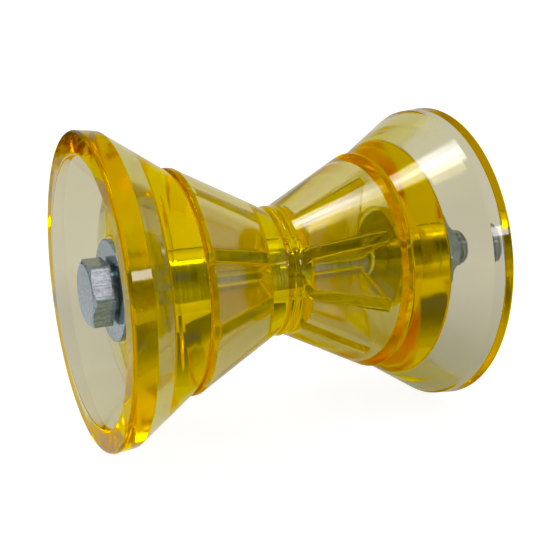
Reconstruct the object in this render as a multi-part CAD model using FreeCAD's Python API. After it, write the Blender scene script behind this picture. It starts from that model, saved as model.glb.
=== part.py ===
import FreeCAD
import Part
import math
import os

# Boat trailer roller: a clear amber spool and two flared end bells, each free to
# turn on one hex bolt with a washer and a nylon-insert lock nut.
# The roller's axis is X, the bolt head is at -X and Z is up. The origin is the
# middle of the spool, on the axis. Millimetres. Every radius is taken from the axis.

# Bolt, washers and nut: half-inch inch-series hardware
BOLT_DIAMETER = 12.7
BOLT_LENGTH = 127.0
BOLT_END_CHAMFER = 1.2
HEX_ACROSS_FLATS = 19.05
HEX_FACE_DIAMETER = 18.3
HEX_CHAMFER_ANGLE = 30.0
HEAD_HEIGHT = 7.7
BEARING_FACE_DIAMETER = 18.0
BEARING_FACE_HEIGHT = 0.4
WASHER_DIAMETER = 31.75
WASHER_THICKNESS = 1.6
WASHER_HOLE_CLEARANCE = 0.4
WASHER_EDGE_ROUND = 0.3
NUT_HEX_HEIGHT = 10.9
NUT_COLLAR_DIAMETER = 17.6
NUT_COLLAR_HEIGHT = 4.2
NUT_COLLAR_ROUND = 1.3
NUT_BORE_CLEARANCE = 0.05
INSERT_DIAMETER = 15.2
INSERT_HEIGHT = 3.0
INSERT_LIP = 0.5

# Fits between what turns and what stands still
RUNNING_CLEARANCE = 0.1
SPOOL_END_PLAY = 0.25
WASHER_END_PLAY = 0.15

# How far a cutting shape runs past the face that it opens
CUT_OVERRUN = 1.0

# Spool
SPOOL_LENGTH = 66.4
SPOOL_END_DIAMETER = 71.6
SPOOL_LAND = 1.9
SPOOL_END_ROUND = 0.7
SPOOL_LAND_ROUND = 1.2
WAIST_DIAMETER = 42.0
WAIST_WIDTH = 5.4
WAIST_ROUND = 2.0
PARTING_RIDGE_HEIGHT = 0.25
PARTING_RIDGE_WIDTH = 0.9
SPOOL_WALL = 8.5
WEB_THICKNESS = 17.4
POCKET_FLOOR_ROUND = 2.0
RIB_COUNT = 8
RIB_THICKNESS = 2.8
RIB_PHASE = 30.0
RIB_INSET = 2.7

# End bells: two of the same moulding, set back to back
BELL_RIM_DIAMETER = 98.3
BELL_RIM_WIDTH = 7.0
BELL_SHOULDER_DIAMETER = 96.8
BELL_SMALL_DIAMETER = 70.4
BELL_SMALL_ROUND = 0.8
BELL_RIM_ROUND = 1.0
BELL_SHOULDER_ROUND = 0.6
BELL_HUB_THICKNESS = 14.2
BELL_CUP_DEPTH = 13.1
BELL_RIM_FACE = 7.2
BELL_CUP_TAPER = 8.2
BELL_MOUTH_ROUND = 0.8
BELL_FLOOR_ROUND = 1.5
BOSS_DIAMETER = 34.0
BOSS_HEIGHT = 3.9
BOSS_ROUND = 0.5

# Sizes that follow from the values above
BOLT_RADIUS = BOLT_DIAMETER / 2
BORE_RADIUS = BOLT_RADIUS + RUNNING_CLEARANCE
SPOOL_END = SPOOL_LENGTH / 2
SPOOL_END_RADIUS = SPOOL_END_DIAMETER / 2
WAIST_RADIUS = WAIST_DIAMETER / 2
CONE_RUN = SPOOL_END - SPOOL_LAND - WAIST_WIDTH / 2
CONE_SLOPE = (SPOOL_END_RADIUS - WAIST_RADIUS) / CONE_RUN
BELL_START = SPOOL_END + SPOOL_END_PLAY
BELL_FLOOR = BELL_START + BELL_HUB_THICKNESS
BELL_SEAT = BELL_FLOOR + BOSS_HEIGHT
BELL_RIM_PLANE = BELL_FLOOR + BELL_CUP_DEPTH
WASHER_START = BELL_SEAT + WASHER_END_PLAY
WASHER_END = WASHER_START + WASHER_THICKNESS
MOUTH_RADIUS = BELL_RIM_DIAMETER / 2 - BELL_RIM_FACE
FLOOR_RADIUS = MOUTH_RADIUS - BELL_CUP_TAPER
HEX_CORNER_RADIUS = HEX_ACROSS_FLATS / 2 / math.cos(math.pi / 6)

AXIS_POINT = FreeCAD.Vector(0, 0, 0)
AXIS = FreeCAD.Vector(1, 0, 0)


# Shapes that turn about the axis

def rounded_outline(corners):
    """A closed flat outline from corners (x, radius, rounding), with tangent arcs at the rounded ones."""
    points = [FreeCAD.Vector(x, 0, radius) for x, radius, _ in corners]
    starts, arcs, ends = [], [], []
    for index, point in enumerate(points):
        rounding = corners[index][2]
        if rounding == 0:
            starts.append(point)
            arcs.append(None)
            ends.append(point)
            continue
        back = (points[index - 1] - point).normalize()
        ahead = (points[(index + 1) % len(points)] - point).normalize()
        half_angle = back.getAngle(ahead) / 2
        reach = rounding / math.tan(half_angle)
        bisector = (back + ahead).normalize()
        middle = point + bisector * (rounding / math.sin(half_angle) - rounding)
        starts.append(point + back * reach)
        ends.append(point + ahead * reach)
        arcs.append(Part.Arc(starts[-1], middle, ends[-1]).toShape())
    edges = []
    for index in range(len(points)):
        if arcs[index]:
            edges.append(arcs[index])
        edges.append(Part.LineSegment(ends[index], starts[(index + 1) % len(points)]).toShape())
    return Part.Face(Part.Wire(edges))


def turned(corners):
    """A solid of revolution about the X axis."""
    return rounded_outline(corners).revolve(AXIS_POINT, AXIS, 360)


def facing(side, corners):
    """The same corners on the -X side (side -1) or the +X side (side 1)."""
    return [(side * x, radius, rounding) for x, radius, rounding in corners]


def hexagon_bar(start, length):
    """A hexagonal bar along +X, with two corners level with the axis."""
    corners = []
    for index in range(7):
        angle = math.radians(60 * index)
        across = HEX_CORNER_RADIUS * math.cos(angle)
        up = HEX_CORNER_RADIUS * math.sin(angle)
        corners.append(FreeCAD.Vector(start, across, up))
    return Part.Face(Part.makePolygon(corners)).extrude(AXIS * length)


# Spool: hourglass outside, a solid web at the waist, ribbed pockets open at both ends

def spool_body():
    half = [
        (SPOOL_END, BORE_RADIUS, 0),
        (SPOOL_END, SPOOL_END_RADIUS, SPOOL_END_ROUND),
        (SPOOL_END - SPOOL_LAND, SPOOL_END_RADIUS, SPOOL_LAND_ROUND),
        (WAIST_WIDTH / 2, WAIST_RADIUS, WAIST_ROUND),
        (PARTING_RIDGE_WIDTH / 2, WAIST_RADIUS, 0),
    ]
    ridge = [(0, WAIST_RADIUS + PARTING_RIDGE_HEIGHT, PARTING_RIDGE_HEIGHT)]
    return turned(half + ridge + facing(-1, half[::-1]))


def spool_pockets(side):
    """The hollows of one end: a cone that keeps the wall even, less the radial ribs."""
    floor = WEB_THICKNESS / 2
    beyond = SPOOL_END + CUT_OVERRUN
    radius_at_middle = WAIST_RADIUS - SPOOL_WALL - CONE_SLOPE * WAIST_WIDTH / 2
    hollow = turned(facing(side, [
        (floor, 0, 0),
        (floor, radius_at_middle + CONE_SLOPE * floor, POCKET_FLOOR_ROUND),
        (beyond, radius_at_middle + CONE_SLOPE * beyond, 0),
        (beyond, 0, 0),
    ]))
    rib_length = SPOOL_END - RIB_INSET
    ribs = []
    for index in range(RIB_COUNT):
        rib = Part.makeBox(rib_length, RIB_THICKNESS, SPOOL_END_RADIUS)
        rib.translate(FreeCAD.Vector(0 if side > 0 else -rib_length, -RIB_THICKNESS / 2, 0))
        rib.rotate(AXIS_POINT, AXIS, 90 - RIB_PHASE + 360 * index / RIB_COUNT)
        ribs.append(rib)
    return hollow.cut(ribs)


def spool():
    return spool_body().cut([spool_pockets(-1), spool_pockets(1)])


# End bell: solid hub on the bolt, cone, thick rim band and an open cup for the washer and head

def end_bell(side):
    return turned(facing(side, [
        (BELL_START, BORE_RADIUS, 0),
        (BELL_START, BELL_SMALL_DIAMETER / 2, BELL_SMALL_ROUND),
        (BELL_RIM_PLANE - BELL_RIM_WIDTH, BELL_SHOULDER_DIAMETER / 2, BELL_SHOULDER_ROUND),
        (BELL_RIM_PLANE, BELL_RIM_DIAMETER / 2, BELL_RIM_ROUND),
        (BELL_RIM_PLANE, MOUTH_RADIUS, BELL_MOUTH_ROUND),
        (BELL_FLOOR, FLOOR_RADIUS, BELL_FLOOR_ROUND),
        (BELL_FLOOR, BOSS_DIAMETER / 2, BOSS_ROUND),
        (BELL_SEAT, BOSS_DIAMETER / 2, BOSS_ROUND),
        (BELL_SEAT, BORE_RADIUS, 0),
    ]))


# Hardware

def washer(side):
    hole = BOLT_RADIUS + WASHER_HOLE_CLEARANCE
    return turned(facing(side, [
        (WASHER_START, hole, 0),
        (WASHER_START, WASHER_DIAMETER / 2, WASHER_EDGE_ROUND),
        (WASHER_END, WASHER_DIAMETER / 2, WASHER_EDGE_ROUND),
        (WASHER_END, hole, 0),
    ]))


def chamfered_hexagon(start, length, chamfered_ends):
    """A hexagonal bar whose named ends (-1, 1) are turned to a cone at the corners."""
    reach = HEX_CORNER_RADIUS - HEX_FACE_DIAMETER / 2
    drop = reach * math.tan(math.radians(HEX_CHAMFER_ANGLE))
    low = drop if -1 in chamfered_ends else 0
    high = drop if 1 in chamfered_ends else 0
    corners = [(start, 0, 0), (start, HEX_CORNER_RADIUS - (reach if low else 0), 0)]
    if low:
        corners.append((start + low, HEX_CORNER_RADIUS, 0))
    if high:
        corners.append((start + length - high, HEX_CORNER_RADIUS, 0))
    corners.append((start + length, HEX_CORNER_RADIUS - (reach if high else 0), 0))
    corners.append((start + length, 0, 0))
    return hexagon_bar(start, length).common(turned(corners))


def hex_bolt():
    seat = -WASHER_END
    head = chamfered_hexagon(seat - HEAD_HEIGHT, HEAD_HEIGHT - BEARING_FACE_HEIGHT, (-1,))
    tip = seat + BOLT_LENGTH
    shank = turned([
        (seat - HEAD_HEIGHT / 2, 0, 0),
        (seat - HEAD_HEIGHT / 2, BEARING_FACE_DIAMETER / 2, 0),
        (seat, BEARING_FACE_DIAMETER / 2, 0),
        (seat, BOLT_RADIUS, 0),
        (tip - BOLT_END_CHAMFER, BOLT_RADIUS, 0),
        (tip, BOLT_RADIUS - BOLT_END_CHAMFER, 0),
        (tip, 0, 0),
    ])
    return head.fuse(shank).removeSplitter()


def lock_nut():
    """A hex nut with a round collar that is rolled in over the nylon ring."""
    start = WASHER_END
    top = start + NUT_HEX_HEIGHT + NUT_COLLAR_HEIGHT
    bore = BOLT_RADIUS + NUT_BORE_CLEARANCE
    bearing = turned([
        (start, 0, 0),
        (start, BEARING_FACE_DIAMETER / 2, 0),
        (start + NUT_HEX_HEIGHT / 2, BEARING_FACE_DIAMETER / 2, 0),
        (start + NUT_HEX_HEIGHT / 2, 0, 0),
    ])
    hexagon = chamfered_hexagon(start + BEARING_FACE_HEIGHT, NUT_HEX_HEIGHT - BEARING_FACE_HEIGHT, (1,))
    collar = turned([
        (start + NUT_HEX_HEIGHT / 2, 0, 0),
        (start + NUT_HEX_HEIGHT / 2, NUT_COLLAR_DIAMETER / 2, 0),
        (top, NUT_COLLAR_DIAMETER / 2, NUT_COLLAR_ROUND),
        (top, 0, 0),
    ])
    lip = top - INSERT_LIP
    lip_radius = (bore + INSERT_DIAMETER / 2) / 2
    hollow = turned([
        (start - CUT_OVERRUN, 0, 0),
        (start - CUT_OVERRUN, bore, 0),
        (lip - INSERT_HEIGHT, bore, 0),
        (lip - INSERT_HEIGHT, INSERT_DIAMETER / 2, 0),
        (lip, INSERT_DIAMETER / 2, 0),
        (lip, lip_radius, 0),
        (top + CUT_OVERRUN, lip_radius, 0),
        (top + CUT_OVERRUN, 0, 0),
    ])
    return bearing.fuse([hexagon, collar]).cut(hollow).removeSplitter()


def nylon_insert():
    top = WASHER_END + NUT_HEX_HEIGHT + NUT_COLLAR_HEIGHT - INSERT_LIP
    bore = BOLT_RADIUS + NUT_BORE_CLEARANCE
    return turned([
        (top - INSERT_HEIGHT, bore, 0),
        (top - INSERT_HEIGHT, INSERT_DIAMETER / 2, 0),
        (top, INSERT_DIAMETER / 2, 0),
        (top, bore, 0),
    ])


pieces = {
    "spool": spool(),
    "head_end_bell": end_bell(-1),
    "nut_end_bell": end_bell(1),
    "hex_bolt": hex_bolt(),
    "head_washer": washer(-1),
    "nut_washer": washer(1),
    "lock_nut": lock_nut(),
    "nylon_insert": nylon_insert(),
}

os.makedirs("parts", exist_ok=True)
for name, shape in pieces.items():
    shape.exportStep(f"parts/{name}.step")
    print(name, len(shape.Solids), "solid,", round(shape.Volume), "mm3")
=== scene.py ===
# %% [markdown]
# # Boat trailer roller
# A bow roller guides a boat's keel on to its trailer. It has three mouldings in clear amber PVC: an hourglass
# spool and two flared end bells, which turn freely on one half-inch hex bolt.
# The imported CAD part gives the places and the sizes. This script builds the looks round it: rounded glassy
# mouldings, a rolled thread, brushed zinc, and the studio in which the roller was photographed.

# %% Load the frame
import math
import bmesh
import bpy
import numpy as np
from mathutils import Matrix, Vector


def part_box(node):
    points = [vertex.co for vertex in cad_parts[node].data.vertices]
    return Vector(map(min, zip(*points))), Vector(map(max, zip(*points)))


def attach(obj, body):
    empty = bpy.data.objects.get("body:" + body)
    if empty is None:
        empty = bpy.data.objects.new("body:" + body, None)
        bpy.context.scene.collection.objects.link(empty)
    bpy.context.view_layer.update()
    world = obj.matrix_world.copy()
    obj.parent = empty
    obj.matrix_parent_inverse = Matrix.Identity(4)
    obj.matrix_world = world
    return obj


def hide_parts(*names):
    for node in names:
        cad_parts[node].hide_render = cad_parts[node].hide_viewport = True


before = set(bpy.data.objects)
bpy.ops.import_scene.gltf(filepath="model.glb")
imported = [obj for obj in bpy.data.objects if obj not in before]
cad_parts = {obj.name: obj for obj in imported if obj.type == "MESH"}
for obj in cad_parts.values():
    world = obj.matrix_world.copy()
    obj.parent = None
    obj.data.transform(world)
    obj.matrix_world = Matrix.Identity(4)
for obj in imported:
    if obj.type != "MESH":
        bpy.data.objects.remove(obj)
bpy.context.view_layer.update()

# %% [markdown]
# ## Sizes
# The roller's axis is X and its bolt head is at -X. Half lengths and outer radii are read from the CAD boxes, so the
# looks follow the part. The inner sizes can't be read from a box, so they are named here, in metres.

# %% Sizes read from the CAD part
MM = 0.001


def reach(node):
    """Lowest x, highest x and outer radius of a CAD node about the X axis."""
    low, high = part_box(node)
    return low.x, high.x, high.z


SPOOL_END, SPOOL_RADIUS = reach("spool")[1:]
BELL_START, RIM_PLANE, RESTING_RADIUS = reach("nut_end_bell")
WASHER_START, WASHER_END, WASHER_RADIUS = reach("nut_washer")
HEAD_TOP, BOLT_TIP, _ = reach("hex_bolt")
NUT_TOP = reach("lock_nut")[1]
BORE = 6.45 * MM
BOLT_RADIUS = 6.35 * MM
print(f"spool {SPOOL_END * 2 / MM:.1f} mm long, rim {RESTING_RADIUS * 2 / MM:.1f} mm across,",
      f"over the rims {RIM_PLANE * 2 / MM:.1f} mm")

# %% [markdown]
# The wall of the cup, the pockets and the ribs can't be seen on a box. They are given here: a wall of 8.5 mm that runs
# parallel to the cone, a web of 17.4 mm at the waist, and eight ribs of 2.8 mm.

# %% Sizes of the mouldings
LAND = 1.9 * MM
WAIST_RADIUS = 21.0 * MM
WAIST_HALF = 2.7 * MM
CONE_SLOPE = (SPOOL_RADIUS - WAIST_RADIUS) / (SPOOL_END - LAND - WAIST_HALF)
SPOOL_WALL = 8.5 * MM
POCKET_FLOOR = 8.7 * MM
RIB_HALF = 1.4 * MM
RIB_END = SPOOL_END - 2.7 * MM
RIBS = 8
RIB_PHASE = math.radians(30)
FLOOR_ROUND = 2.0 * MM
RIB_FILLET = 0.8 * MM
RIB_END_ROUND = 0.5 * MM
HUB_END = BELL_START + 14.2 * MM
BELL_SMALL_RADIUS = 35.2 * MM
SHOULDER_RADIUS = 48.4 * MM
RIM_RADIUS = 49.15 * MM
RIM_WIDTH = 7.0 * MM
MOUTH_RADIUS = RIM_RADIUS - 7.2 * MM
CUP_FLOOR_RADIUS = MOUTH_RADIUS - 8.2 * MM
BOSS_RADIUS = 17.0 * MM
BOSS_END = WASHER_START - 0.15 * MM
print(f"cone slope {CONE_SLOPE:.3f}, ribs {RIBS}, rim face {(RIM_RADIUS - MOUTH_RADIUS) / MM:.1f} mm wide")

# %% [markdown]
# ## Outlines with rounded corners
# A moulding has no sharp edge: the steel mould is ground with small radii so that the plastic fills it and lets go.
# In clear plastic these rounds catch thin bright lines, so each corner here is a true arc. A short straight piece is
# kept on both sides of an arc. It holds the flat faces flat when the shading is smoothed.

# %% Rounded outlines
def rounded_outline(corners, closed, steps=6, hold=0.12 * MM):
    """Points (x, radius) along corners (x, radius, rounding). A tangent arc of radius q in a corner of half angle h
    starts q / tan(h) from the corner, and its centre lies q / sin(h) away on the bisector."""
    points = [np.array(corner[:2]) for corner in corners]
    made = []
    for index, point in enumerate(points):
        rounding = corners[index][2]
        if rounding == 0 or (not closed and index in (0, len(points) - 1)):
            made.append(point)
            continue
        back = points[index - 1] - point
        ahead = points[(index + 1) % len(points)] - point
        back, ahead = back / np.linalg.norm(back), ahead / np.linalg.norm(ahead)
        half = math.acos(np.clip(back @ ahead, -1, 1)) / 2
        tangent = rounding / math.tan(half)
        centre = point + (back + ahead) / np.linalg.norm(back + ahead) * rounding / math.sin(half)
        first, last = point + back * tangent - centre, point + ahead * tangent - centre
        sweep = math.pi - 2 * half
        share = np.linspace(0, 1, steps + 1)[:, None]
        arc = (np.sin((1 - share) * sweep) * first + np.sin(share * sweep) * last) / math.sin(sweep)
        made.append(point + back * (tangent + hold))
        made.extend(centre + arc)
        made.append(point + ahead * (tangent + hold))
    return np.array(made)


def turned(outline, angles):
    """The outline at each angle: y = -radius cos(angle), z = radius sin(angle). Shape (points, angles, 3)."""
    x, radius = outline[:, 0, None], outline[:, 1, None]
    return np.stack(np.broadcast_arrays(x, -radius * np.cos(angles), radius * np.sin(angles)), axis=-1)


def grid_faces(rows, columns, wrap_rows=False):
    """The four-cornered faces of a grid of vertices stored row by row. Every row closes into a ring."""
    row = np.arange(rows if wrap_rows else rows - 1)[:, None]
    column = np.arange(columns)
    next_row, next_column = (row + 1) % rows, (column + 1) % columns
    corners = np.broadcast_arrays(row * columns + column, next_row * columns + column,
                                  next_row * columns + next_column, row * columns + next_column)
    return np.stack(corners, axis=-1).reshape(-1, 4).tolist()


print("an arc of 6 steps:", len(rounded_outline([(0, 0, 0), (1, 0, 0.1), (1, 1, 0)], closed=False)), "points")

# %% [markdown]
# ## One closed piece
# Glass is traced through its whole body, so every moulding must be one closed skin with its faces pointing outwards.
# The surfaces of a piece are made apart and share the points on their common edges. Merging the doubles sews them.
# The print at the end is the test: no open edge, and the volume in cubic centimetres that the mould would fill.

# %% From surfaces to one closed piece
SEWN = 0.0005 * MM
SMOOTH_UP_TO = math.radians(30)


def face_centres(mesh):
    """The middle of each face, one row (x, y, z) for each."""
    centres = np.empty(len(mesh.polygons) * 3)
    mesh.polygons.foreach_get("center", centres)
    return centres.reshape(-1, 3)


def piece(name, surfaces, material, body, nodes):
    """One mesh from (vertices, faces) surfaces whose shared edges coincide. Doubles within SEWN are merged, which
    closes it, and an edge that turns by more than SMOOTH_UP_TO stays sharp."""
    vertices, faces = [], []
    for points, polygons in surfaces:
        shift = len(vertices)
        vertices.extend(np.asarray(points).reshape(-1, 3).tolist())
        faces.extend([index + shift for index in polygon] for polygon in polygons)
    mesh = bpy.data.meshes.new(name)
    mesh.from_pydata(vertices, [], faces)
    work = bmesh.new()
    work.from_mesh(mesh)
    bmesh.ops.remove_doubles(work, verts=work.verts, dist=SEWN)
    bmesh.ops.recalc_face_normals(work, faces=work.faces)
    open_edges = sum(not edge.is_manifold for edge in work.edges)
    volume = work.calc_volume()
    if volume < 0:
        bmesh.ops.reverse_faces(work, faces=work.faces)
    work.to_mesh(mesh)
    work.free()
    mesh.polygons.foreach_set("use_smooth", np.ones(len(mesh.polygons), bool))
    mesh.set_sharp_from_angle(angle=SMOOTH_UP_TO)
    mesh.materials.append(material)
    made = bpy.data.objects.new(name, mesh)
    bpy.context.collection.objects.link(made)
    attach(made, body)
    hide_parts(*nodes)
    print(f"{name}: {len(mesh.polygons)} faces, {open_edges} open edges, {abs(volume) * 1e6:.2f} cm3")
    return made


# %% [markdown]
# ## Effects that several materials share
# A real surface is never even. A casting shrinks as it cools, which leaves slow ripples; hands and tools leave
# scuffs; plate and nylon are a little cloudy. Each effect is a shader node group, built once: it takes the place on
# the surface and a few amounts, and gives back a mask or a normal. The materials then choose their own amounts.

# %% Helpers for nodes
def wire(tree, made, wired):
    """Gives a node's inputs, by name or number, a plain value or an output to link. Returns the node."""
    for key, value in wired.items():
        if isinstance(value, bpy.types.NodeSocket):
            tree.links.new(value, made.inputs[key])
        else:
            made.inputs[key].default_value = value
    return made


def node(tree, kind, wired, **settings):
    """A new shader node with its settings and its inputs."""
    made = tree.nodes.new("ShaderNode" + kind)
    for key, value in settings.items():
        setattr(made, key, value)
    return wire(tree, made, wired)


def calc(tree, operation, *values, clamp=False):
    """The result of a Math node on plain values or other outputs."""
    return node(tree, "Math", dict(enumerate(values)), operation=operation, use_clamp=clamp).outputs[0]


def noise(tree, at, scale, detail, **more):
    """A noise texture at a place. Its waves are about 1 / scale metres wide."""
    return node(tree, "TexNoise", {"Vector": at, "Scale": scale, "Detail": detail, **more}).outputs[0]


def ramp(tree, value, low, high, first=0.0, last=1.0, **settings):
    """The value's range low..high turned into first..last, and held there beyond its ends."""
    wired = {"Value": value, "From Min": low, "From Max": high, "To Min": first, "To Max": last}
    return node(tree, "MapRange", wired, **settings).outputs[0]


# %% [markdown]
# A group's sockets belong to its interface. They are made once, with the value that they have when nothing is given.

# %% An empty effect
def effect(name, amounts, gives, kind):
    """An empty node group: a Position and some amounts go in, one result of that kind comes out."""
    group = bpy.data.node_groups.new(name, "ShaderNodeTree")
    group.interface.new_socket("Position", in_out="INPUT", socket_type="NodeSocketVector")
    for amount, value in amounts.items():
        group.interface.new_socket(amount, in_out="INPUT", socket_type="NodeSocketFloat").default_value = value
    group.interface.new_socket(gives, in_out="OUTPUT", socket_type=kind)
    given, result = group.nodes.new("NodeGroupInput").outputs, group.nodes.new("NodeGroupOutput").inputs[0]
    return group, given, result


# %% [markdown]
# Ripples are a noise whose waves are as wide as asked. A Bump node turns its height, in metres, into a normal. In clear
# plastic a slope of one hundredth already bends a highlight, so a depth of a tenth of a millimetre is enough.

# %% Ripples
amounts = {"Across": 0.01, "Depth": 0.00003, "Grain": 0.3}
ripples, given, result = effect("ripples", amounts, "Normal", "NodeSocketVector")
per_metre = calc(ripples, "DIVIDE", 1.0, given["Across"])
waves = noise(ripples, given["Position"], per_metre, 3.0, Roughness=given["Grain"])
slope = node(ripples, "Bump", {"Height": waves, "Distance": given["Depth"]})
ripples.links.new(slope.outputs["Normal"], result)
print("ripples takes", [socket.name for socket in ripples.interface.items_tree if socket.in_out == "INPUT"])

# %% [markdown]
# Scuffs come in patches, and inside a patch they are short scratches that run one way. A broad noise chooses the
# patches, and a second noise, squeezed along one slanting direction, draws the scratches.

# %% Scuffs
scuffs, given, result = effect("scuffs", {"Patches": 120.0, "Share": 0.5}, "Mask", "NodeSocketFloat")
patches = noise(scuffs, given["Position"], given["Patches"], 4.0, Roughness=0.6)
squeezed = {"Vector": given["Position"], "Rotation": (0.5, 0.9, 0.3), "Scale": (2600, 190, 1900)}
slanted = node(scuffs, "Mapping", squeezed).outputs[0]
scratches = ramp(scuffs, noise(scuffs, slanted, 1.0, 2.0, Distortion=0.4), 0.56, 0.7)
worn_from = calc(scuffs, "SUBTRACT", 1.0, given["Share"])
worn = ramp(scuffs, patches, worn_from, 0.8, interpolation_type="SMOOTHSTEP")
both = calc(scuffs, "MULTIPLY_ADD", scratches, 0.8, 0.25, clamp=True)
scuffs.links.new(calc(scuffs, "MULTIPLY", worn, both), result)
print("effects:", [group.name for group in (ripples, scuffs)])

# %% [markdown]
# ## Amber PVC
# The mouldings are soft clear PVC with an amber dye all through it. So the colour isn't on the surface: a volume takes
# away blue for every millimetre that light travels inside, and a thin wall looks pale while a long way looks orange.
# The surface only bends and mirrors, with the slow ripples of a casting that has shrunk in its mould, and with
# patches that are a little rougher where hands and the mould have dulled the gloss.

# %% A material by name
def material(name):
    """A new material, its node tree and its Principled BSDF."""
    made = bpy.data.materials.new(name)
    made.use_nodes = True
    return made, made.node_tree, made.node_tree.nodes["Principled BSDF"]


def place(tree):
    """The place on the object, in metres."""
    return node(tree, "TexCoord", {}).outputs["Object"]


def use(tree, group, at, **amounts):
    """One of the shared effects at a place, with this material's amounts."""
    made = tree.nodes.new("ShaderNodeGroup")
    made.node_tree = group
    return wire(tree, made, {"Position": at, **amounts}).outputs[0]


def blend(tree, factor, first, second):
    """The colour between two colours, as the factor says."""
    made = node(tree, "Mix", {"Factor": factor}, data_type="RGBA")
    made.inputs["A"].default_value, made.inputs["B"].default_value = (*first, 1), (*second, 1)
    return made.outputs["Result"]


# %% [markdown]
# The spool and the bells come out of different moulds, and their batches of amber differ a little, so the material
# is a function with the tint and the absorption as its values. The spool's pockets were shaped by drawn steel cores.
# Their skin is duller than the polished outside, and softens what shows through it.

# %% Amber
CORE_DULLNESS = 0.07
CLOUDED = 0.97


def amber_pvc(name, tint, absorb):
    """Clear dyed PVC. `tint` is what each surface lets through, `absorb` the loss of red, green and blue per metre
    inside. The faces with the attribute `pocket` were shaped by a drawn core and are duller than the outside."""
    made, tree, shader = material(name)
    at = place(tree)
    cored = node(tree, "Attribute", {}, attribute_name="pocket").outputs["Fac"]
    dulled = ramp(tree, use(tree, scuffs, at, Patches=90.0, Share=0.55), 0.0, 1.0, 0.05, 0.17)
    wire(tree, shader, {
        "Transmission Weight": 1.0,
        "IOR": 1.53,
        "Base Color": blend(tree, noise(tree, at, 45.0, 3.0), tint, [value * CLOUDED for value in tint]),
        "Roughness": calc(tree, "MULTIPLY_ADD", cored, CORE_DULLNESS, dulled),
        "Normal": use(tree, ripples, at, Across=0.012, Depth=0.00009, Grain=0.3)})
    red, green, blue = absorb
    volume = node(tree, "VolumeAbsorption", {"Color": (1 - red / blue, 1 - green / blue, 0, 1), "Density": blue})
    tree.links.new(volume.outputs["Volume"], tree.nodes["Material Output"].inputs["Volume"])
    print(f"{name}: left after 10 mm", *(f"{math.exp(-loss / 100):.2f}" for loss in absorb))
    return made


bell_amber = amber_pvc("amber_pvc_bells", (0.80, 0.786, 0.835), (0.5, 3.2, 31.5))
spool_amber = amber_pvc("amber_pvc_spool", (0.90, 0.870, 0.883), (0.4, 3.95, 33.5))

# %% [markdown]
# ## Zinc plate and nylon
# The bolt, nut and washers are drawn and forged steel with a bright zinc plate. The flats keep fine lines along the
# bar from which they were drawn, the plate is cloudy in small spangles, and tools leave scuffs. The lines are a noise
# that is stretched along X, used for the roughness and, as a very shallow relief, for the normal.

# %% Zinc
zinc, tree, shader = material("zinc_plate")
at = place(tree)
stretched = node(tree, "Mapping", {"Vector": at, "Scale": (70, 1300, 1300)}).outputs[0]
drawn = noise(tree, stretched, 1.0, 3.0, Roughness=0.7)
grain = noise(tree, at, 1300.0, 3.0, Roughness=0.7)
spangle = node(tree, "TexVoronoi", {"Vector": at, "Scale": 900.0}).outputs["Distance"]
cloudy = ramp(tree, calc(tree, "MULTIPLY_ADD", drawn, 1.2, grain), 0.85, 1.35)
uneven = calc(tree, "MULTIPLY_ADD", drawn, 0.25, ramp(tree, spangle, 0.0, 0.7, 0.0, 0.06))
marked = calc(tree, "MULTIPLY_ADD", use(tree, scuffs, at, Patches=260.0, Share=0.5), 0.2, uneven)
relief = calc(tree, "MULTIPLY_ADD", grain, 0.5, drawn)
waves = use(tree, ripples, at, Across=0.004, Depth=0.000012, Grain=0.4)
wire(tree, shader, {
    "Metallic": 1.0,
    "Base Color": blend(tree, cloudy, (0.175, 0.205, 0.215), (0.385, 0.435, 0.45)),
    "Roughness": ramp(tree, marked, 0.05, 0.45, 0.1, 0.36),
    "Normal": node(tree, "Bump", {"Height": relief, "Distance": 0.000025, "Normal": waves}).outputs["Normal"]})
print("zinc plate:", len(tree.nodes), "nodes")

# %% [markdown]
# Where the spool and the bells turn on the bolt, they rub its shank bright, and the washers' inner sides too. These
# get a lighter plate with hardly any roughness and fine rings round the axis, which is the same stretched noise
# turned the other way.

# %% Polished shank
shank_zinc, tree, shader = material("zinc_plate_polished")
at = place(tree)
rubbed = node(tree, "Mapping", {"Vector": at, "Scale": (1500, 120, 120)}).outputs[0]
rings = noise(tree, rubbed, 1.0, 3.0, Roughness=0.6)
wire(tree, shader, {
    "Metallic": 1.0,
    "Base Color": blend(tree, ramp(tree, rings, 0.35, 0.65), (0.30, 0.32, 0.33), (0.54, 0.56, 0.58)),
    "Roughness": ramp(tree, rings, 0.3, 0.7, 0.1, 0.24),
    "Normal": use(tree, ripples, at, Across=0.003, Depth=0.00002, Grain=0.5)})
print("polished plate:", len(tree.nodes), "nodes")

# %% [markdown]
# The ring in the lock nut is natural nylon. It is milky and a little waxy, so it only gets a pale cloudy colour, a
# half dull skin and small ripples from the thread that was pressed into it.

# %% Nylon
nylon, tree, shader = material("nylon")
at = place(tree)
dulled = use(tree, scuffs, at, Patches=300.0, Share=0.5)
wire(tree, shader, {
    "Base Color": blend(tree, noise(tree, at, 400.0, 4.0), (0.78, 0.79, 0.75), (0.90, 0.91, 0.88)),
    "Roughness": ramp(tree, dulled, 0.0, 1.0, 0.42, 0.62),
    "Normal": use(tree, ripples, at, Across=0.002, Depth=0.00001, Grain=0.5)})
print("materials:", [made.name for made in (bell_amber, spool_amber, zinc, shank_zinc, nylon)])

# %% [markdown]
# ## The spool
# The spool is one moulding: an hourglass whose ends are hollowed by pockets between eight radial ribs, with a solid
# web left at the waist. The outside is an outline turned about the axis. The hollow isn't round, so it is
# built as a grid: the same section drawn again at each station along X, with its wall radius and rib
# thickness changing from station to station.

# %% [markdown]
# A pocket's outline across the axis is worked out for half a pocket and mirrored, so all sixteen are the same. It
# follows the bore, climbs a rib's flank, turns through a small fillet and runs along the wall. TIP and ON_WALL are
# the numbers of its last point on the bore and of its first point on the wall.

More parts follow.
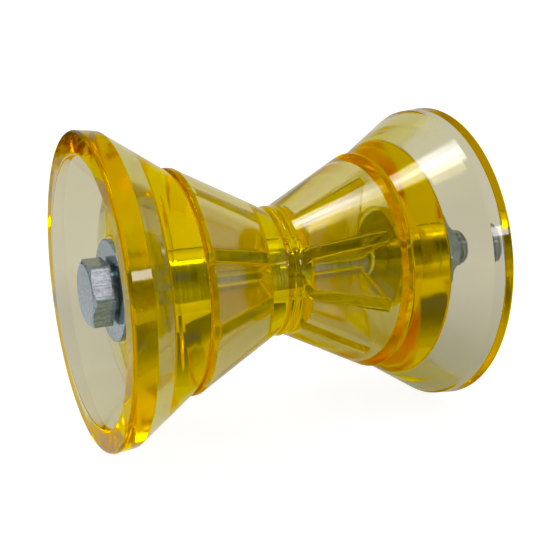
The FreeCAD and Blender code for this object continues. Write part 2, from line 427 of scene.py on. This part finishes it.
# %% Section of the hollow
TIP = 3
FLANK = np.array([0.02, 0.5, 0.97, 1])
FILLET_STEPS = 6
WALL_STEPS = 10
ON_WALL = TIP + len(FLANK) + FILLET_STEPS


def half_sector(wall, half):
    """Points (radius, angle from a rib's middle) over half a pocket: the rib's tip on the bolt's bore, its flank at
    `half` from the middle plane, a fillet of radius f whose centre is f + half from that plane, and the wall."""
    tip_angle = math.asin(half / BORE)
    tip = [(BORE, tip_angle * share) for share in np.linspace(0, 1, TIP + 1)]
    across = math.sqrt((wall - RIB_FILLET) ** 2 - (half + RIB_FILLET) ** 2)
    inner = BORE * math.cos(tip_angle)
    flank = [(math.hypot(x, half), math.atan2(half, x)) for x in inner + (across - inner) * FLANK]
    turn = math.pi / 2 + math.atan2(half + RIB_FILLET, across)
    bend = -math.pi / 2 + turn * np.linspace(0, 1, FILLET_STEPS + 1)[1:]
    x, y = across + RIB_FILLET * np.cos(bend), half + RIB_FILLET + RIB_FILLET * np.sin(bend)
    fillet = list(zip(np.hypot(x, y), np.arctan2(y, x)))
    rest = np.linspace(fillet[-1][1], math.pi / RIBS, WALL_STEPS + 1)[1:]
    return tip + flank + fillet + [(wall, angle) for angle in rest]


def section(x, wall, half):
    """The hollow's closed outline at one station: each half sector and its mirror, round all the ribs."""
    radius, angle = np.array(half_sector(wall, half)).T
    radius = np.concatenate([radius, radius[-2:0:-1]])
    angle = np.concatenate([angle, 2 * math.pi / RIBS - angle[-2:0:-1]])
    middles = RIB_PHASE + 2 * math.pi / RIBS * np.arange(RIBS)
    radius, angle = np.tile(radius, RIBS), (middles[:, None] + angle).ravel()
    return np.stack([np.full_like(radius, x), -radius * np.cos(angle), radius * np.sin(angle)], axis=-1)


def wall_radius(x):
    """Radius of the hollow's wall, parallel to the cone outside it."""
    return WAIST_RADIUS - SPOOL_WALL + CONE_SLOPE * (x - WAIST_HALF)


# %% [markdown]
# The stations lie close together where the form turns: over the fillet at the pocket's floor and over the rounded
# end of a rib. The rib's thickness follows the same circle, so its foot is filleted and its end is round.

# %% Hollow of one end
TILT = math.atan(CONE_SLOPE)
FLOOR_STEPS = np.array([0, 6, 13, 21, 30, 39, 48, 56]) / 56
RIB_END_STEPS = np.array([1.3, 1, 0.8, 0.55, 0.3, 0.1, 0])
PLAIN_STATIONS = [15 * MM, 22 * MM]
round_x = POCKET_FLOOR + FLOOR_ROUND
round_r = wall_radius(round_x) - FLOOR_ROUND / math.cos(TILT)
bend = FLOOR_STEPS * (math.pi / 2 - TILT)
floor_arc = np.stack([round_x - FLOOR_ROUND * np.cos(bend), round_r + FLOOR_ROUND * np.sin(bend)], axis=-1)
along = np.concatenate([[floor_arc[-1, 0] + 0.3 * MM], PLAIN_STATIONS, RIB_END - RIB_END_ROUND * RIB_END_STEPS])
stations = np.concatenate([floor_arc, np.stack([along, wall_radius(along)], axis=-1)])
above_floor = np.clip(RIB_FILLET - (stations[:, 0] - POCKET_FLOOR), 0, RIB_FILLET)
past_round = np.clip(stations[:, 0] - (RIB_END - RIB_END_ROUND), 0, RIB_END_ROUND)
halves = RIB_HALF + RIB_FILLET - np.sqrt(RIB_FILLET ** 2 - above_floor ** 2)
halves -= RIB_END_ROUND - np.sqrt(RIB_END_ROUND ** 2 - past_round ** 2)
sections = np.array([section(x, wall, half) for (x, wall), half in zip(stations, halves)])
per_half = len(half_sector(stations[-1, 1], halves[-1]))
per_rib = 2 * (per_half - 1)
columns = sections.shape[1]
print("stations", len(stations), "points round", columns)

# %% [markdown]
# Three kinds of flat or plain surface close the hollow: the end of each rib, the floor of each pocket, and the bore
# and the mouth, whose points are taken from the rings that they must meet, so that the skins sew together.

# %% Rib ends, pocket floors and bore
def polar(points):
    """Angle of each point about the axis, in the sense of `turned`."""
    return np.arctan2(points[:, 2], -points[:, 1])


def between(ring, first, last, radius, count=3):
    """Points at equal angles between two of a ring's points, on a circle of that radius round the axis."""
    start, end = polar(ring[[first, last % len(ring)]])
    angles = start + ((end - start) % (2 * math.pi)) * np.linspace(0, 1, count + 2)[1:-1]
    return turned(np.array([[ring[0, 0], radius]]), angles)[0]


floor_ring, end_ring = sections[0], sections[-1]
flat_faces, bore_ring, mouth_ring = [], [], []
for rib in range(RIBS):
    start = rib * per_rib
    rib_outline = end_ring[np.arange(start - ON_WALL, start + ON_WALL + 1)]
    across = between(end_ring, start - ON_WALL, start + ON_WALL, stations[-1, 1])
    flat_faces.append(np.concatenate([rib_outline, across[::-1]]))
    mouth_ring += [rib_outline[:1], across, end_ring[start + ON_WALL:start + per_rib - ON_WALL]]
    pocket_outline = floor_ring[np.arange(start + TIP, start + per_rib - TIP + 1) % columns]
    along_bore = between(floor_ring, start + TIP, start + per_rib - TIP, BORE)
    flat_faces.append(np.concatenate([pocket_outline, along_bore[::-1]]))
    bore_ring += [floor_ring[np.arange(start - TIP, start + TIP + 1)], along_bore]
bore_angles, mouth_angles = polar(np.concatenate(bore_ring)), polar(np.concatenate(mouth_ring))
print("mouth ring", len(mouth_angles), "bore ring", len(bore_angles))

# %% [markdown]
# The outside is turned from an outline with the round of each corner. A fine ridge at the waist is the mark of the
# parting line, where the two halves of the mould met. Faces that a core shaped get the attribute that the amber reads.

# %% The spool's outside, and the whole moulding
HAIR = 0.05 * MM
RIDGE = 0.25 * MM
RIDGE_FOOT = 0.45 * MM
half_outline = [
    (RIB_END, wall_radius(RIB_END), 0),
    (SPOOL_END, wall_radius(SPOOL_END), 0.35 * MM),
    (SPOOL_END, SPOOL_RADIUS, 0.7 * MM),
    (SPOOL_END - LAND, SPOOL_RADIUS, 1.2 * MM),
    (WAIST_HALF, WAIST_RADIUS, 2.0 * MM),
    (RIDGE_FOOT, WAIST_RADIUS, 0),
]
ridge = [(0, WAIST_RADIUS + RIDGE, RIDGE)]
mirrored = [(-x, radius, rounding) for x, radius, rounding in half_outline[::-1]]
outside = rounded_outline(half_outline + ridge + mirrored, closed=False)
bore = turned(np.array([[POCKET_FLOOR, BORE], [0, BORE], [-POCKET_FLOOR, BORE]]), bore_angles)
surfaces = [(turned(outside, mouth_angles), grid_faces(len(outside), len(mouth_angles))),
            (bore, grid_faces(3, len(bore_angles)))]
for side in (1, -1):
    mirror = np.array([side, 1, 1])
    surfaces.append((sections * mirror, grid_faces(len(sections), columns)))
    surfaces += [(face * mirror, [list(range(len(face)))]) for face in flat_faces]
spool = piece("spool_amber", surfaces, spool_amber, "spool", ["spool"])
x, y, z = np.abs(face_centres(spool.data).T)
near_wall = np.hypot(y, z) < wall_radius(x) + HAIR
cored = (x > POCKET_FLOOR - HAIR) & (x < RIB_END + HAIR) & near_wall
spool.data.attributes.new("pocket", "FLOAT", "FACE").data.foreach_set("value", cored.astype(np.float32))
print("faces made by the cores:", cored.sum(), "of", len(cored))

# %% [markdown]
# ## The end bells
# Both bells are the same moulding: a solid hub, a cone, a thick rim band and an open cup in which the bolt head or
# the nut sits on a raised boss. The cup's wall runs parallel to the cone outside it. Light that enters the rim band is
# caught between these two walls, which is why the band looks dark amber while the plain wall looks pale.

# %% Two bells
RING = np.linspace(0, 2 * math.pi, 193)[:-1]


def bell_outline(side):
    """Section of a bell on the head's side (-1) or the nut's (1): hub, cone, rim band, cup, boss and bore."""
    corners = [
        (BELL_START, BORE, 0.2 * MM),
        (BELL_START, BELL_SMALL_RADIUS, 0.8 * MM),
        (RIM_PLANE - RIM_WIDTH, SHOULDER_RADIUS, 0.6 * MM),
        (RIM_PLANE, RIM_RADIUS, 1.0 * MM),
        (RIM_PLANE, MOUTH_RADIUS, 0.8 * MM),
        (HUB_END, CUP_FLOOR_RADIUS, 1.5 * MM),
        (HUB_END, BOSS_RADIUS, 0.5 * MM),
        (BOSS_END, BOSS_RADIUS, 0.5 * MM),
        (BOSS_END, BORE, 0.2 * MM),
    ]
    return rounded_outline([(side * x, radius, rounding) for x, radius, rounding in corners], closed=True)


for side, name in ((-1, "head_end_bell"), (1, "nut_end_bell")):
    outline = bell_outline(side)
    surface = (turned(outline, RING), grid_faces(len(outline), len(RING), wrap_rows=True))
    piece(name + "_amber", [surface], bell_amber, name, [name])

# %% [markdown]
# ## Bolt, washers and lock nut
# Half-inch hardware with a bright zinc plate. The hexagons are turned to a cone at their corners, so the flats end in
# the curved edges that real bolt heads show. The thread is the true one: 13 turns to the inch, right handed.

# %% [markdown]
# A hexagon could be a six-sided cylinder, but then its corners would be knife edges. Here its radius is a smooth
# function of the angle, so the corners are blunt as on rolled bar, and the turned chamfer meets it in true curves.

# %% Hexagons
FLAT = 9.525 * MM
FACE_RADIUS = 9.15 * MM
CHAMFER = math.radians(30)
FLATS = math.radians(30) + math.radians(60) * np.arange(6)[:, None]
CORNERS = math.radians(30) * np.sin(np.linspace(-math.pi / 2, math.pi / 2, 17)[:-1])
HEX_RING = (FLATS + CORNERS).ravel()
SHARPNESS = 70


def hexagon(angles):
    """Radius of a hexagon with slightly blunt corners: the flat's distance over the p-norm of the six cosines."""
    cosines = np.clip(np.cos(angles - FLATS), 0, None)
    return FLAT / (cosines ** SHARPNESS).sum(axis=0) ** (1 / SHARPNESS)


def rows(listed, angles):
    """A grid from rows (x, radius), where either may be one number or one value for each angle."""
    x = np.array([np.broadcast_to(x, angles.shape) for x, _ in listed])
    radius = np.array([np.broadcast_to(radius, angles.shape) for _, radius in listed])
    return np.stack([x, -radius * np.cos(angles), radius * np.sin(angles)], axis=-1)


def chamfered(face, direction, angles):
    """Rows from a hexagon's end face over the turned chamfer to its flats. `direction` points into the bar. Pairs of
    rows a hair apart on both sides of an edge keep the faces flat when the shading is smoothed."""
    corner = hexagon(angles)
    rise = np.clip(corner - FACE_RADIUS, 0, None) * math.tan(CHAMFER)
    return [(face, FACE_RADIUS * 0.97), (face, FACE_RADIUS - HAIR), (face + direction * 0.02 * MM, FACE_RADIUS),
            (face + direction * rise, corner - 0.03 * MM), (face + direction * (rise + HAIR), corner),
            (face + direction * (rise + 0.3 * MM), corner)]


corner = hexagon(HEX_RING)
print(f"hexagon {2 * corner.min() / MM:.2f} mm across flats, {2 * corner.max() / MM:.2f} mm across corners")

# %% [markdown]
# The bolt is one grid of rows along the axis: the head, its chamfer, the turned step under it, the shank, and rows so
# close together that the thread can climb through them. The groove is a function of x / pitch + angle, and it fades
# in over two turns as a rolled thread does. The rows beyond the step are shank, and get the polished plate.

# %% Bolt
PITCH = 25.4 * MM / 13
THREAD_DEPTH = 1.15 * MM
THREAD_LENGTH = 31.75 * MM
THREAD_FADE = 2 * PITCH
ROWS_PER_PITCH = 14
TIP_CHAMFER = 1.2 * MM
STEP_HEIGHT = 0.9 * MM
STEP_RADIUS = 7.7 * MM
seat = -WASHER_END
under_head = seat - STEP_HEIGHT
head = [(HEAD_TOP, 0)] + chamfered(HEAD_TOP, 1, HEX_RING) + [
    (under_head - 0.3 * MM, corner), (under_head - 0.04 * MM, corner), (under_head, corner - 0.06 * MM),
    (under_head, STEP_RADIUS + HAIR), (under_head + HAIR, STEP_RADIUS), (seat - HAIR, STEP_RADIUS),
    (seat, STEP_RADIUS - HAIR), (seat, 7.0 * MM), (seat, BOLT_RADIUS + 0.3 * MM),
    (seat + 0.1 * MM, BOLT_RADIUS + 0.08 * MM), (seat + 0.3 * MM, BOLT_RADIUS)]
thread_x = np.arange(BOLT_TIP - THREAD_LENGTH, BOLT_TIP, PITCH / ROWS_PER_PITCH)
turn = (thread_x[:, None] / PITCH + HEX_RING / (2 * math.pi)) % 1
groove = np.clip((np.abs(2 * turn - 1) - 0.125) / 0.75, 0, 1)
fade = np.clip((thread_x - thread_x[0]) / THREAD_FADE, 0, 1)[:, None]
end_cone = BOLT_RADIUS - np.clip(thread_x - (BOLT_TIP - TIP_CHAMFER), 0, None)[:, None]
thread_radius = np.minimum(BOLT_RADIUS - THREAD_DEPTH * groove * fade, end_cone)
shank = [(thread_x[0] - 0.5 * MM, BOLT_RADIUS)]
tip = [(BOLT_TIP, BOLT_RADIUS - TIP_CHAMFER - HAIR), (BOLT_TIP, 0)]
bolt_rows = rows(head + shank + list(zip(thread_x, thread_radius)) + tip, HEX_RING)
bolt_surface = (bolt_rows, grid_faces(*bolt_rows.shape[:2]))
bolt = piece("hex_bolt_zinc", [bolt_surface], zinc, "axle", ["hex_bolt"])
bolt.data.materials.append(shank_zinc)
x = face_centres(bolt.data)[:, 0]
bolt.data.polygons.foreach_set("material_index", ((x > seat) & (x < BOLT_TIP - 0.2 * MM)).astype(np.int32))

# %% [markdown]
# The washers are stamped discs. Both edges are rounded by 0.3 mm, which gives them the thin bright line of their rim.
# The side on which a bell turns is rubbed bright like the shank.

# %% Washers
WASHER_BORE = 6.75 * MM
WASHER_ROUND = 0.3 * MM
for side, name in ((-1, "head_washer"), (1, "nut_washer")):
    corners = ((WASHER_START, WASHER_BORE), (WASHER_START, WASHER_RADIUS),
               (WASHER_END, WASHER_RADIUS), (WASHER_END, WASHER_BORE))
    outline = rounded_outline([(side * x, radius, WASHER_ROUND) for x, radius in corners],
                              closed=True, steps=4, hold=HAIR)
    surface = (turned(outline, RING), grid_faces(len(outline), len(RING), wrap_rows=True))
    washer = piece(name + "_zinc", [surface], zinc, "axle", [name])
    washer.data.materials.append(shank_zinc)
    inner_side = np.abs(face_centres(washer.data)[:, 0]) < WASHER_START + HAIR
    washer.data.polygons.foreach_set("material_index", inner_side.astype(np.int32))

# %% [markdown]
# The lock nut has the same hexagon, and above it a round collar that is rolled over the nylon ring. Its outline goes
# over the outside, down inside the collar, round the groove for the ring and back through the bore. The ring is the
# CAD part's own solid and only gets its material.

# %% Lock nut
NUT_BORE = 6.4 * MM
NUT_SEAT_RADIUS = 9.0 * MM
NUT_SEAT = 0.4 * MM
COLLAR_RADIUS = 8.8 * MM
COLLAR_MOUTH = 7.0 * MM
INSERT_RADIUS = 7.6 * MM
nut_top = WASHER_END + 10.9 * MM
insert_low, insert_high = NUT_TOP - 3.5 * MM, NUT_TOP - 0.5 * MM
flats_start = WASHER_END + NUT_SEAT
outer = [(WASHER_END, NUT_BORE), (WASHER_END, NUT_SEAT_RADIUS - HAIR), (WASHER_END + HAIR, NUT_SEAT_RADIUS),
         (flats_start - HAIR, NUT_SEAT_RADIUS), (flats_start, NUT_SEAT_RADIUS + HAIR),
         (flats_start, corner - 0.06 * MM), (flats_start + 0.04 * MM, corner), (flats_start + 0.3 * MM, corner)]
collar = [(nut_top, COLLAR_RADIUS, 0), (NUT_TOP, COLLAR_RADIUS, 1.3 * MM),
          (NUT_TOP, COLLAR_MOUTH, 0.15 * MM), (insert_high, COLLAR_MOUTH, 0)]
collar = [tuple(point) for point in rounded_outline(collar, closed=False, hold=0.03 * MM)]
inner = [(insert_high, INSERT_RADIUS), (insert_low, INSERT_RADIUS), (insert_low, NUT_BORE),
         (WASHER_END + 0.3 * MM, NUT_BORE)]
nut_rows = rows(outer + chamfered(nut_top, -1, HEX_RING)[::-1] + collar + inner, HEX_RING)
nut_surface = (nut_rows, grid_faces(*nut_rows.shape[:2], wrap_rows=True))
piece("lock_nut_zinc", [nut_surface], zinc, "axle", ["lock_nut"])
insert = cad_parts["nylon_insert"]
insert.data.materials.clear()
insert.data.materials.append(nylon)

# %% [markdown]
# ## The studio
# The roller stands on a sheet of pale paper in an even light tent. The paper glows with painted light, so that no dark
# shadow is left under it, and more strongly for the eye of the camera, as a cut-out white. To the plastic, it glows
# most in a round patch of painted light in front of the left bell, and least under and behind the roller, where a
# painted shadow dims it.

# %% Floor
GLOW = 0.43
POOL = 0.3
SHADE = 0.45
WHITE = 0.88
FAR = 8.0


def sheet(name, corners, finish):
    """A flat sheet with four corners and one material."""
    mesh = bpy.data.meshes.new(name)
    mesh.from_pydata(corners, [], [(0, 1, 2, 3)])
    mesh.materials.append(finish)
    made = bpy.data.objects.new(name, mesh)
    bpy.context.collection.objects.link(made)
    return made


def away_from(tree, at, x, y):
    """Distance of the place from a point of the floor."""
    return node(tree, "VectorMath", {0: at, 1: (x, y, -RESTING_RADIUS)}, operation="DISTANCE").outputs["Value"]


paper, tree, shader = material("studio_paper")
at = place(tree)
fibres = noise(tree, at, 900.0, 4.0)
# The glow that the plastic sees is painted light: brighter in a round patch in front of the left bell, and dimmed by a
# painted shadow under and behind the roller.
painted_light_pool = ramp(tree, away_from(tree, at, -0.14, -0.10), 0.11, 0.27, GLOW + POOL, GLOW)
shade = ramp(tree, away_from(tree, at, 0.045, 0.045), 0.05, 0.15, 1 - SHADE, 1.0)
in_view = node(tree, "LightPath", {}).outputs["Is Camera Ray"]
wire(tree, shader, {
    "Base Color": blend(tree, fibres, (0.29, 0.29, 0.29), (0.31, 0.31, 0.31)),
    "Roughness": ramp(tree, fibres, 0.3, 0.7, 0.85, 0.95),
    "Emission Color": (1, 1, 1, 1),
    "Emission Strength": ramp(tree, in_view, 0.0, 1.0, calc(tree, "MULTIPLY", painted_light_pool, shade), WHITE)})
corners = [(-FAR, -FAR, -RESTING_RADIUS), (FAR, -FAR, -RESTING_RADIUS),
           (FAR, FAR, -RESTING_RADIUS), (-FAR, FAR, -RESTING_RADIUS)]
floor = sheet("studio_floor", corners, paper)
print(f"floor at {-RESTING_RADIUS / MM:.1f} mm, under the rims")

# %% [markdown]
# The tent is a world of soft light, brightest high up behind the roller. It is open where the camera looks in, so the
# faces that look at the camera mirror a dim room instead of a white wall and keep their deep colour.

# %% Light
TENT = 0.64
TENT_TOP = 1.5 * TENT
ROOM = 0.22


def direction(azimuth, elevation):
    """Unit vector towards a point seen at that azimuth (0 is the -Y side) and elevation, in degrees."""
    turn, rise = math.radians(azimuth), math.radians(elevation)
    return Vector((math.sin(turn) * math.cos(rise), -math.cos(turn) * math.cos(rise), math.sin(rise)))


world = bpy.data.worlds.new("studio")
bpy.context.scene.world = world
world.use_nodes = True
tree = world.node_tree
background = tree.nodes["Background"]
background.inputs["Color"].default_value = (1, 1, 1, 1)
outwards = node(tree, "TexCoord", {}).outputs["Generated"]


def facing(azimuth, elevation):
    """1 for a ray that leaves in that direction, less the further it turns away: the dot product of the two."""
    both = {0: outwards, 1: direction(azimuth, elevation)}
    return node(tree, "VectorMath", both, operation="DOT_PRODUCT").outputs["Value"]


cloth = ramp(tree, facing(-150, 55), 0.86, 0.97, TENT, TENT_TOP)
tent = ramp(tree, facing(-26, 33), 0.84, 0.96, cloth, ROOM)
in_view = node(tree, "LightPath", {}).outputs["Is Camera Ray"]
tree.links.new(calc(tree, "MAXIMUM", tent, in_view), background.inputs["Strength"])
print(f"tent {TENT}, at its top {TENT_TOP:.2f}, in its opening {ROOM}")

# %% [markdown]
# Three softboxes draw the highlights: the long streaks on the cones, the small patch on the rim, and the bright flat
# of the bolt's head. A lamp behind cloth is brightest in its middle, so each fades towards its edges, and the one
# overhead lets its three tubes show through as fine lines in the streaks.

# %% Softboxes
LAMP_DISTANCE = 1.0
TUBE_DEPTH = 0.22


def softbox(name, azimuth, elevation, width, height, radiance, colour=(1, 1, 1), soft=0.0, tubes=0):
    """A rectangle of light that faces the roller. Its power is pi x area x radiance. The radiance falls off over the
    share `soft` of each half side. With tubes, it is also multiplied by 1 - depth - depth x cos(2 pi tubes u)."""
    light = bpy.data.lights.new(name, "AREA")
    light.color = colour
    light.shape, light.size, light.size_y = "RECTANGLE", width, height
    light.energy = radiance * math.pi * width * height
    light.use_nodes = True
    tree = light.node_tree
    spot = node(tree, "SeparateXYZ", {"Vector": node(tree, "NewGeometry", {}).outputs["Parametric"]}).outputs
    strength = 1.0
    for axis in ("X", "Y"):
        aside = calc(tree, "ABSOLUTE", calc(tree, "SUBTRACT", spot[axis], 0.5))
        fade = ramp(tree, aside, 0.5 - soft / 2, 0.501, 1.0, 0.0, interpolation_type="SMOOTHSTEP")
        strength = calc(tree, "MULTIPLY", fade, strength)
    if tubes:
        wave = calc(tree, "COSINE", calc(tree, "MULTIPLY_ADD", spot["X"], 2 * math.pi * tubes, math.pi))
        wave = calc(tree, "MULTIPLY_ADD", wave, TUBE_DEPTH, 1 - TUBE_DEPTH)
        strength = calc(tree, "MULTIPLY", wave, strength)
    tree.links.new(strength, tree.nodes["Emission"].inputs["Strength"])
    lamp = bpy.data.objects.new(name, light)
    bpy.context.collection.objects.link(lamp)
    lamp.location = direction(azimuth, elevation) * LAMP_DISTANCE
    lamp.rotation_euler = direction(azimuth, elevation).to_track_quat("Z", "Y").to_euler()


softbox("overhead_softbox", -102, 71, 0.45, 0.34, 18.0, soft=0.8, tubes=3)
softbox("front_softbox", 28, 23, 0.135, 0.125, 10.0, soft=0.3)
softbox("fill_softbox", 16.5, 44, 0.32, 0.22, 2.8, (0.88, 0.80, 1.06), soft=0.4)
print("lights:", [lamp.name for lamp in bpy.data.lights])

# %% [markdown]
# Behind the table's edge it is dark, and clear plastic needs that: a dark card, out of the picture, stands in for it as
# painted shade and gives it the deep lines in the hubs and the amber top of the rim. It is felt, and its colour is
# painted shading: blackest at its foot and paler towards its top, as if light fell on it there.

# %% Black card
felt, tree, shader = material("black_felt_painted_shade")
at = place(tree)
# The card's colour is painted shading: darkest at its foot and paler towards its top.
height = node(tree, "SeparateXYZ", {"Vector": at}).outputs["Z"]
uneven = calc(tree, "MULTIPLY_ADD", noise(tree, at, 60.0, 5.0), 0.06, height)
wire(tree, shader, {"Base Color": ramp(tree, uneven, 0.05, 0.15, 0.1, 0.65), "Roughness": 1.0})
left_end, right_end = Vector((-0.45, 0.52, 0)), Vector((0.005, 0.52, 0))
foot, top = Vector((0, 0, -RESTING_RADIUS)), Vector((0, 0, 0.16))
card = sheet("black_card", [left_end + foot, right_end + foot, right_end + top, left_end + top], felt)
card.visible_camera = False
print("dark card", [round(value, 2) for value in card.dimensions])

# %% [markdown]
# ## The camera
# It stands to the left of the roller and a little above it, near enough that the left rim looks larger than the
# right one. Its place is built from two angles and a distance, and a small upward shift frames the roller.

# %% Camera
AZIMUTH, ELEVATION, DISTANCE = -24.52, 17.69, 0.35184
ASIDE, DOWN = 0.00354, 0.01102
back = direction(AZIMUTH, ELEVATION)
right = Vector((math.cos(math.radians(AZIMUTH)), math.sin(math.radians(AZIMUTH)), 0))
up = back.cross(right)
lens = bpy.data.cameras.new("camera")
lens.sensor_width, lens.lens, lens.shift_y, lens.clip_start = 36.0, 69.70, 0.0446, 0.01
camera = bpy.data.objects.new("camera", lens)
bpy.context.collection.objects.link(camera)
stand = Matrix.Translation(back * DISTANCE + right * ASIDE - up * DOWN)
camera.matrix_world = stand @ Matrix((right, up, back)).transposed().to_4x4()
bpy.context.scene.camera = camera
print("camera at", [round(value, 4) for value in camera.matrix_world.translation])

# %% [markdown]
# ## Finish
# Light is caught for many bounces between the walls of the rim, so the bounce limits are high. The photograph's rich
# colour is a little more than the plain transform gives, and one compositor node adds it.

# %% Render settings
scene = bpy.context.scene
scene.view_settings.view_transform = "Standard"
scene.cycles.max_bounces = 40
scene.cycles.transmission_bounces = 40
scene.cycles.glossy_bounces = 16
scene.use_nodes = True
compositor = scene.node_tree
compositor.nodes.clear()
layers = compositor.nodes.new("CompositorNodeRLayers")
hue = compositor.nodes.new("CompositorNodeHueSat")
result = compositor.nodes.new("CompositorNodeComposite")
hue.inputs["Saturation"].default_value = 1.6
compositor.links.new(layers.outputs["Image"], hue.inputs["Image"])
compositor.links.new(hue.outputs["Image"], result.inputs["Image"])
